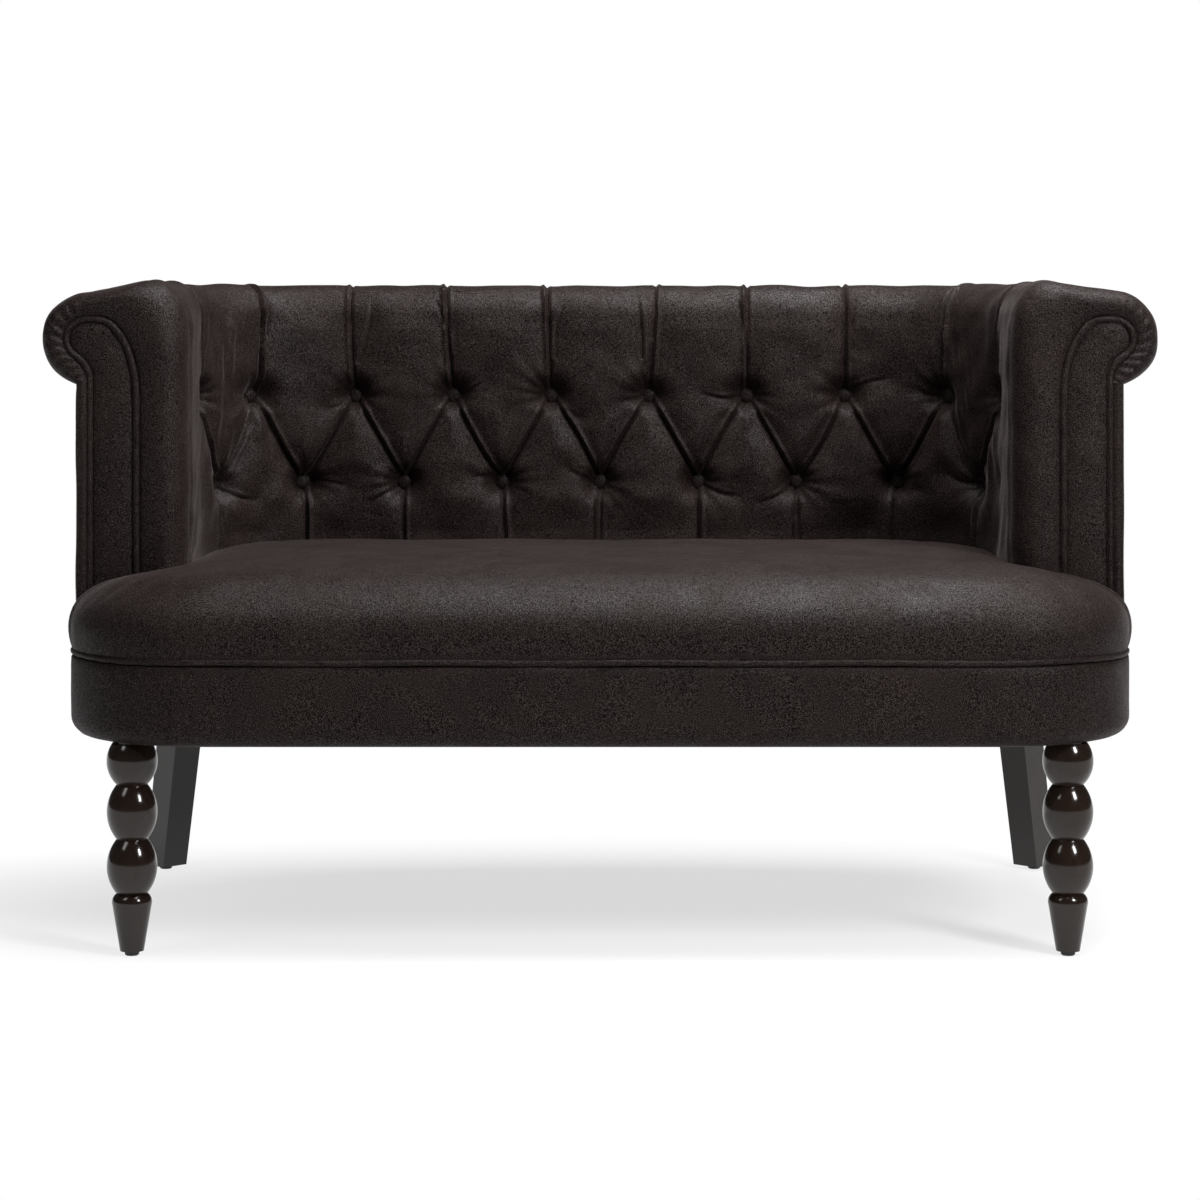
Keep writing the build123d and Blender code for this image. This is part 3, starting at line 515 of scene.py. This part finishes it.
# The border at each arm front runs from the edge of this cover, over a roll, down to the piping
# of the facing, so the outline of the facing is set out here.
facing_in, facing_out, facing_head = 48.0, 100.0, 22.0
facing_top = scroll_z + facing_head
shoulder, shoulder_stretch = 44.0, 2.0
neck_angle = 60.0
head_line = arc_points((scroll_u, scroll_z), facing_head, 90, -neck_angle, 24)
neck_leave = head_line[-1]
neck = (neck_leave[0] - facing_out) / (1 - math.cos(math.radians(neck_angle)))
neck_centre = (facing_out + neck, neck_leave[1] - neck * math.sin(math.radians(neck_angle)))
neck_line = arc_points(neck_centre, neck, 180 - neck_angle, 180, 12)
shoulder_arc = arc_points((facing_in + shoulder, facing_top - shoulder), shoulder, 180, 90, 20)
legs_of_facing = [
    [(facing_in, cover_foot), (facing_in, facing_top - shoulder * shoulder_stretch)],
    [(u, facing_top - (facing_top - z) * shoulder_stretch) for u, z in shoulder_arc],
    [(facing_in + shoulder, facing_top), (scroll_u, facing_top)],
    head_line + neck_line[1:],
    [(facing_out, neck_centre[1]), (facing_out, neck_centre[1] - 2)],
]
welt_edge = joined(legs_of_facing)
scroll_squareness = 0.3 * np.clip((rim_run - roll_run + 40) / 60, 0, 1)


def border_rows(side, edge, target, ruffle, squareness):
    made = []
    half = border_steps // 2
    for step in range(1, border_steps + 1):
        turn = math.pi * step / border_steps
        share = np.full(len(edge), (1 - math.cos(turn)) / 2)
        forward = border_roll * math.sin(turn)
        if step < half:
            share = share * (2 * share) ** squareness
        if step > half:
            forward = border_roll - border_recess * (1 - math.sin(turn))
        u, z = (edge + (target - edge) * share[:, None]).T
        y = arm_front_y + border_roll - (forward + ruffle * np.sin(math.pi * share))
        made.append(np.stack([side * (inner_x + u), y, z], axis=1))
    return made


rows = {}
ruffle_height, ruffle_pitch, ruffle_fade = 0.9, 15.0, 12.0
from_scroll_ends = np.minimum(rim_run - roll_run, rim_run[-1] - rim_run)
on_scroll = np.clip(from_scroll_ends / ruffle_fade, 0, 1)
for side, index in ((1, -1), (-1, 0)):
    edge = np.stack([deep[index], tall[index]], axis=1)
    ruffle = ruffle_height * np.sin(2 * math.pi * rim_run / ruffle_pitch + side) * on_scroll
    ruffle += 0.35 * np.sin(rim_run / 17.0 + side)
    rows[side] = border_rows(side, edge, welt_edge, ruffle, scroll_squareness)
whole = np.concatenate([np.stack(rows[-1][::-1]), cover, np.stack(rows[1])])
tub_cover = cloth_piece("tufted_tub_cover", whole.reshape(-1, 3), grid_quads(*whole.shape[:2]))
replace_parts(tub_cover, "inside_back_pad", "left_corner_pad", "right_corner_pad", "left_arm_pad",
            "right_arm_pad", "back_rim", "left_corner_rim", "right_corner_rim", "left_arm_rim",
            "right_arm_rim")


# Outer arm borders: the narrow padded strip of velvet between the piping of an arm front and the
# outside of the arm, turned round the edge and stitched down by hand.
border_points = 70
border_foot, border_top = apron_top - 20, 615.5
border_squareness = 1.6


def outer_border(name, side):
    heights = np.linspace(border_foot, border_top, border_points)
    edge = np.stack([np.full(border_points, wall_depth), heights], axis=1)
    target = np.stack([np.full(border_points, facing_out), np.minimum(heights, neck_centre[1])], axis=1)
    ruffle = 0.3 * np.sin(heights / 21.0 + side)
    edge_y = np.full(border_points, arm_front_y + border_roll)
    strip = [np.stack([side * (inner_x + edge[:, 0]), edge_y, heights], axis=1)]
    strip = np.stack(strip + border_rows(side, edge, target, ruffle, border_squareness))
    piece = cloth_piece(name, strip.reshape(-1, 3), grid_quads(*strip.shape[:2]))


outer_border("right_arm_border", 1)
outer_border("left_arm_border", -1)


# Arm front facings: scroll-shaped boards covered in velvet over a thin pad, set into the borders
# and nailed to the arm posts. Their face is a low dome, pulled in at the edge.
facing_foot = 322.0
facing_face_y = arm_front_y + 8.0
facing_dome, head_fall = 6.0, 12.0
head_zone, head_gap = 46.0, 0.2
facing_thickness = 3.0
inner_side = np.array(legs_of_facing[0] + legs_of_facing[1][1:] + [(scroll_u - 3, facing_top)])
outer_side = np.array([(facing_out, facing_foot)] + neck_line[::-1] + head_line[::-1][1:])


def apply_on(piece, kind, **settings):
    pick(piece)
    modifier = piece.modifiers.new(kind.lower(), kind)
    for key, value in settings.items():
        setattr(modifier, key, value)
    bpy.ops.object.modifier_apply(modifier=modifier.name)


def facing(name, side):
    rounding = 1 - np.sin(np.linspace(0.03, 1, 36) * math.pi / 2)
    heights = np.concatenate([np.linspace(facing_foot, facing_top - head_zone, 60),
                              facing_top - head_gap - (head_zone - head_gap) * rounding])
    near = np.interp(heights, inner_side[:, 1], inner_side[:, 0])
    far = np.interp(heights, outer_side[:, 1], outer_side[:, 0])
    shares = np.linspace(0, 1, 13)
    u = near[:, None] + (far - near)[:, None] * shares
    z = heights[:, None] + 0 * u
    dome = facing_dome * np.sin(math.pi * shares) ** 0.7 * np.minimum(1, (facing_top - z) / head_fall) ** 0.5
    dome = dome + 0.35 * rippled(u, z, ripples(31, 12, 30, 90))
    points = np.stack([side * (inner_x + u), facing_face_y - dome, z], axis=2)
    piece = cloth_piece(name, points.reshape(-1, 3), grid_quads(*points.shape[:2]))
    apply_on(piece, "SOLIDIFY", thickness=facing_thickness * mm, offset=-1.0)
    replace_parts(piece, name.replace("_cover", ""))


facing("right_facing_cover", 1)
facing("left_facing_cover", -1)


# Facing piping: a cotton cord in a bias strip of velvet, sewn round the edge of each facing and
# tucked down behind the seat at its foot.
welt_radius, welt_step = 3.5, 4.0


def piping(name, lines, radius):
    curve = bpy.data.curves.new(name, "CURVE")
    curve.dimensions = "3D"
    curve.bevel_depth = radius * mm
    curve.bevel_resolution = 4
    curve.use_fill_caps = True
    for line in lines:
        spline = curve.splines.new("POLY")
        spline.points.add(len(line) - 1)
        for point, place_on in zip(spline.points, line):
            point.co = (*(mm * np.asarray(place_on)), 1.0)
    piece = bpy.data.objects.new(name, curve)
    bpy.context.scene.collection.objects.link(piece)
    pick(piece)
    bpy.ops.object.convert(target="MESH")
    piece = bpy.context.view_layer.objects.active
    bpy.ops.object.shade_smooth()
    cover_in_velvet(piece)
    return piece


above_foot = welt_edge[welt_edge[:, 1] > facing_foot][:-3]
facing_ring = np.concatenate([[(facing_in, facing_foot)], above_foot, [(facing_out, facing_foot)]])
facing_ring = even(facing_ring, welt_step)
cord_y = facing_face_y - 3.0
cords = [[(side * (inner_x + u), cord_y + 0.4 * math.sin(k * 0.7), z) for k, (u, z) in enumerate(facing_ring)]
         for side in (1, -1)]
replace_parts(piping("facing_piping", cords, welt_radius), "facing_welts")


# Covered buttons: metal shells capped with velvet, tied through the tufts with twine. Each is a
# low dome that sits in the bottom of its dimple.
button_radius, button_flatness, button_cut = 10.2, 0.5, -3.0
button_depth = 21.0


def buttons(name, row, height):
    bpy.ops.object.select_all(action="DESELECT")
    bpy.ops.mesh.primitive_uv_sphere_add(segments=24, ring_count=14, radius=button_radius * mm)
    dome = bpy.context.view_layer.objects.active
    bpy.ops.object.mode_set(mode="EDIT")
    bpy.ops.mesh.select_all(action="SELECT")
    bpy.ops.transform.resize(value=(1.0, 1.0, button_flatness))
    bpy.ops.mesh.bisect(plane_co=(0, 0, button_cut * mm), plane_no=(0, 0, 1), clear_inner=True,
                        use_fill=True)
    bpy.ops.object.mode_set(mode="OBJECT")
    copies = []
    for run, _ in row:
        x, y, nx, ny = (float(v) for v in on_path(np.array(run)))
        copy = bpy.data.objects.new(name, dome.data.copy())
        bpy.context.scene.collection.objects.link(copy)
        turn = Vector((-nx, -ny, 0.0)).to_track_quat("Z", "Y").to_matrix().to_4x4()
        turn.translation = Vector((x + nx * button_depth, y + ny * button_depth, height)) * mm
        copy.data.transform(turn)
        copies.append(copy)
    bpy.data.objects.remove(dome)
    pick(copies[0])
    for copy in copies:
        copy.select_set(True)
    bpy.ops.object.join()
    piece = bpy.context.view_layer.objects.active
    piece.name = name
    bpy.ops.object.shade_smooth()
    cover_in_velvet(piece)
    return piece


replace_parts(buttons("upper_covered_buttons", upper, upper_row), "upper_buttons")
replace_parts(buttons("lower_covered_buttons", lower, lower_row), "lower_buttons")


# Tight seat: a crowned foam block covered in velvet, T-shaped, filling the tub and reaching out in
# front of the arms. Its cover is pulled over the front and sewn to the piping above the apron.
seat_edge, seat_crest = 316.5, 417.0
seat_gap, seat_notch = 2.0, 26.0
profile_insets = [2.5, -2.0, -4.0, -2.6, 4.0, 16.0, 36.0, 64.0, 98.0, 140.0, 190.0]
profile_rises = [0.0, 0.12, 0.25, 0.42, 0.565, 0.69, 0.80, 0.885, 0.945, 0.985, 1.0]
profile_steps = 26
corner_shrink = 400.0
room_side, room_front = 620.0, -400.0
room_low, room_high = 300.0, 450.0
seat_voxel = 6.0


def seat_ring(inset, z):
    radius = front_corner * (1 - max(inset, 0) / corner_shrink)
    x, y = outer_x - inset, front_y + inset
    ring = [(-x, inner_y)]
    ring += arc_points((-x + radius, y + radius), radius, 180, 270, 28)
    ring += arc_points((x - radius, y + radius), radius, 270, 360, 28)
    return [(px, py, z) for px, py in ring + [(x, inner_y)]]


def stacked_piece(name, rings):
    count = len(rings[0])
    last = (len(rings) - 1) * count
    faces = [tuple(reversed(range(count))), range(last, last + count)]
    quads = [quad[:1] + quad[:0:-1] for quad in grid_quads(len(rings), count, closed=True)]
    return new_piece(name, [point for ring in rings for point in ring], quads + faces)


rises = np.linspace(0, 1, profile_steps)
insets = np.interp(rises, profile_rises, profile_insets)
seat = stacked_piece("seat_cushion", [seat_ring(inset, seat_edge + (seat_crest - seat_edge) * rise)
                                      for rise, inset in zip(rises, insets)])
around = on_path(np.linspace(-path_end + border_roll, path_end - border_roll, 150))
tub = [(x - nx * seat_gap, y - ny * seat_gap) for x, y, nx, ny in zip(*around)]
ear_y = arm_front_y - seat_gap
notch = [(inner_x - seat_gap + seat_notch * (1 - math.cos(a)), ear_y + border_roll * (1 - math.sin(a)))
         for a in np.linspace(0, math.pi / 2, 8)]
plan = notch + [(room_side, ear_y), (room_side, room_front), (-room_side, room_front), (-room_side, ear_y)]
plan += [(-x, y) for x, y in reversed(notch)] + tub
room = stacked_piece("seat_room", [[(x, y, z) for x, y in plan[::-1]] for z in (room_low, room_high)])
for piece in (seat, room):
    face_outwards(piece, merge=False)
apply_on(seat, "BOOLEAN", object=room, operation="INTERSECT", solver="EXACT")
bpy.data.objects.remove(room)
apply_on(seat, "REMESH", mode="VOXEL", voxel_size=seat_voxel * mm)
apply_on(seat, "SMOOTH", factor=0.5, iterations=6)


def coordinates(mesh):
    flat = np.empty(len(mesh.vertices) * 3)
    mesh.vertices.foreach_get("co", flat)
    return flat.reshape(-1, 3)


points = coordinates(seat.data)
most_swell, swell_rise, sewn_height, arm_clearance = 4.0, 20.0, 5.0, 30.0
stuffing_pressure, stuffing_frames = 4.0, 20
sewn = seat.vertex_groups.new(name="sewn_edge")
low = np.flatnonzero(points[:, 2] < mm * (seat_edge + sewn_height))
sewn.add(low.tolist(), 1.0, "REPLACE")
stuffing = seat.modifiers.new("stuffing", "CLOTH")
stuffing.settings.use_pressure = True
stuffing.settings.uniform_pressure_force = stuffing_pressure
stuffing.settings.effector_weights.gravity = 0.0
stuffing.settings.vertex_group_mass = "sewn_edge"
stuffing.settings.quality = 4
for step in range(1, stuffing_frames + 1):
    bpy.context.scene.frame_set(step)
swollen = seat.evaluated_get(bpy.context.evaluated_depsgraph_get())
shift = coordinates(swollen.data) - points
bpy.context.scene.frame_set(1)
seat.modifiers.remove(stuffing)
seat.vertex_groups.clear()
limit = np.clip((points[:, 2] - mm * seat_edge) / (swell_rise * mm), 0, 1) * most_swell * mm
shift *= np.minimum(1, limit / np.maximum(np.linalg.norm(shift, axis=1), tiny))[:, None]
shift[:, :2] *= (points[:, 1] < mm * (ear_y - arm_clearance))[:, None]
points = points + shift
top_start, top_fade = 370.0, 30.0
x, y, z = (points / mm).T
on_top = np.clip((z - top_start) / top_fade, 0, 1)
waves = 0.7 * rippled(x, y, ripples(41, 18, 90, 260)) + 0.25 * rippled(x, y, ripples(43, 16, 25, 60))
points[:, 2] += mm * on_top * waves
seat.data.vertices.foreach_set("co", points.ravel())
seat.data.update()
apply_on(seat, "SMOOTH", factor=0.5, iterations=4)
bpy.ops.object.shade_smooth()
cover_in_velvet(seat)
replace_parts(seat, "seat_cover")

# Seat piping: a cord in a bias strip of velvet, sewn between the seat cover and the apron and
# running round the front corners to the arms.
welt_z, welt_inset = 319.8, 3.0
welt_line = even(front_line, welt_step)
cord = [(x - nx * welt_inset, y - ny * welt_inset,
         welt_z + 0.5 * math.sin(k * 0.11) + 0.25 * math.sin(k * 0.83))
        for k, ((x, y), (nx, ny)) in enumerate(zip(welt_line, normals_of(welt_line)))]
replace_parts(piping("seat_piping", [cord], welt_radius), "seat_welt")


# Studio: a pale seamless floor that keeps the soft shadow, a white surround, a soft box above, a
# key box at the upper right and a faint one at the left, and the camera straight in front.
bpy.ops.object.select_all(action="DESELECT")
bpy.ops.mesh.primitive_plane_add(size=60)
floor = bpy.context.view_layer.objects.active
floor.name = "studio_floor"
paper, tree, shader, place = new_surface("white_paper_floor", {
    "Base Color": linear("#f4f4f4"), "Roughness": 0.9})
flattened = add(tree, "Mapping", {"Vector": place, "Scale": (1.0, 2.0, 1.0)}).outputs[0]
distance = add(tree, "VectorMath", {0: flattened}, operation="LENGTH").outputs["Value"]
fade = add(tree, "MapRange", {0: distance, 1: 0.55, 2: 1.06, 3: 0.68, 4: 1.0}).outputs[0]
light_path = add(tree, "LightPath", {})
seen = add(tree, "Math", {0: light_path.outputs["Is Camera Ray"], 1: light_path.outputs["Is Glossy Ray"]},
           operation="MAXIMUM").outputs[0]
share = add(tree, "Math", {0: fade, 1: seen}, operation="MULTIPLY").outputs[0]
glow = add(tree, "Emission", {"Color": (1, 1, 1, 1), "Strength": 1.0}).outputs[0]
mixed = add(tree, "MixShader", {0: share, 1: shader.outputs[0], 2: glow}).outputs[0]
tree.links.new(mixed, tree.nodes["Material Output"].inputs["Surface"])
floor.data.materials.append(paper)

world = bpy.data.worlds.new("white_surround")
bpy.context.scene.world = world
world.use_nodes = True
tree = world.node_tree
tree.nodes.clear()
light_path = add(tree, "LightPath", {})
strength = add(tree, "MapRange", {0: light_path.outputs["Is Camera Ray"], 3: 0.08, 4: 1.0}).outputs[0]
background = add(tree, "Background", {"Color": (1, 1, 1, 1), "Strength": strength}).outputs[0]
add(tree, "OutputWorld", {"Surface": background})


def soft_box(name, location, target, width, height, power):
    lamp = bpy.data.lights.new(name, "AREA")
    lamp.shape = "RECTANGLE"
    lamp.size = width
    lamp.size_y = height
    lamp.energy = power
    box = bpy.data.objects.new(name, lamp)
    bpy.context.scene.collection.objects.link(box)
    box.location = location
    box.rotation_euler = (Vector(target) - Vector(location)).to_track_quat("-Z", "Y").to_euler()


soft_box("top_box", (0.45, -0.2, 2.3), (0.1, 0, 0.4), 1.6, 1.0, 110.0)
soft_box("right_box", (1.6, -1.9, 1.9), (-0.3, 0, 0.5), 0.5, 0.9, 72.0)
soft_box("left_box", (-1.9, -1.5, 2.4), (-0.4, 0, 0.5), 0.7, 1.2, 13.0)

lens = bpy.data.cameras.new("camera")
lens.sensor_width = 36.0
lens.lens = 93.5
lens.shift_y = -0.2175
lens.clip_end = 100.0
camera = bpy.data.objects.new("camera", lens)
camera.location = (0.0, -3.626, 0.662)
camera.rotation_euler = (math.radians(90), 0.0, 0.0)
bpy.context.scene.collection.objects.link(camera)
bpy.context.scene.camera = camera
bpy.context.scene.view_settings.view_transform = "Standard"
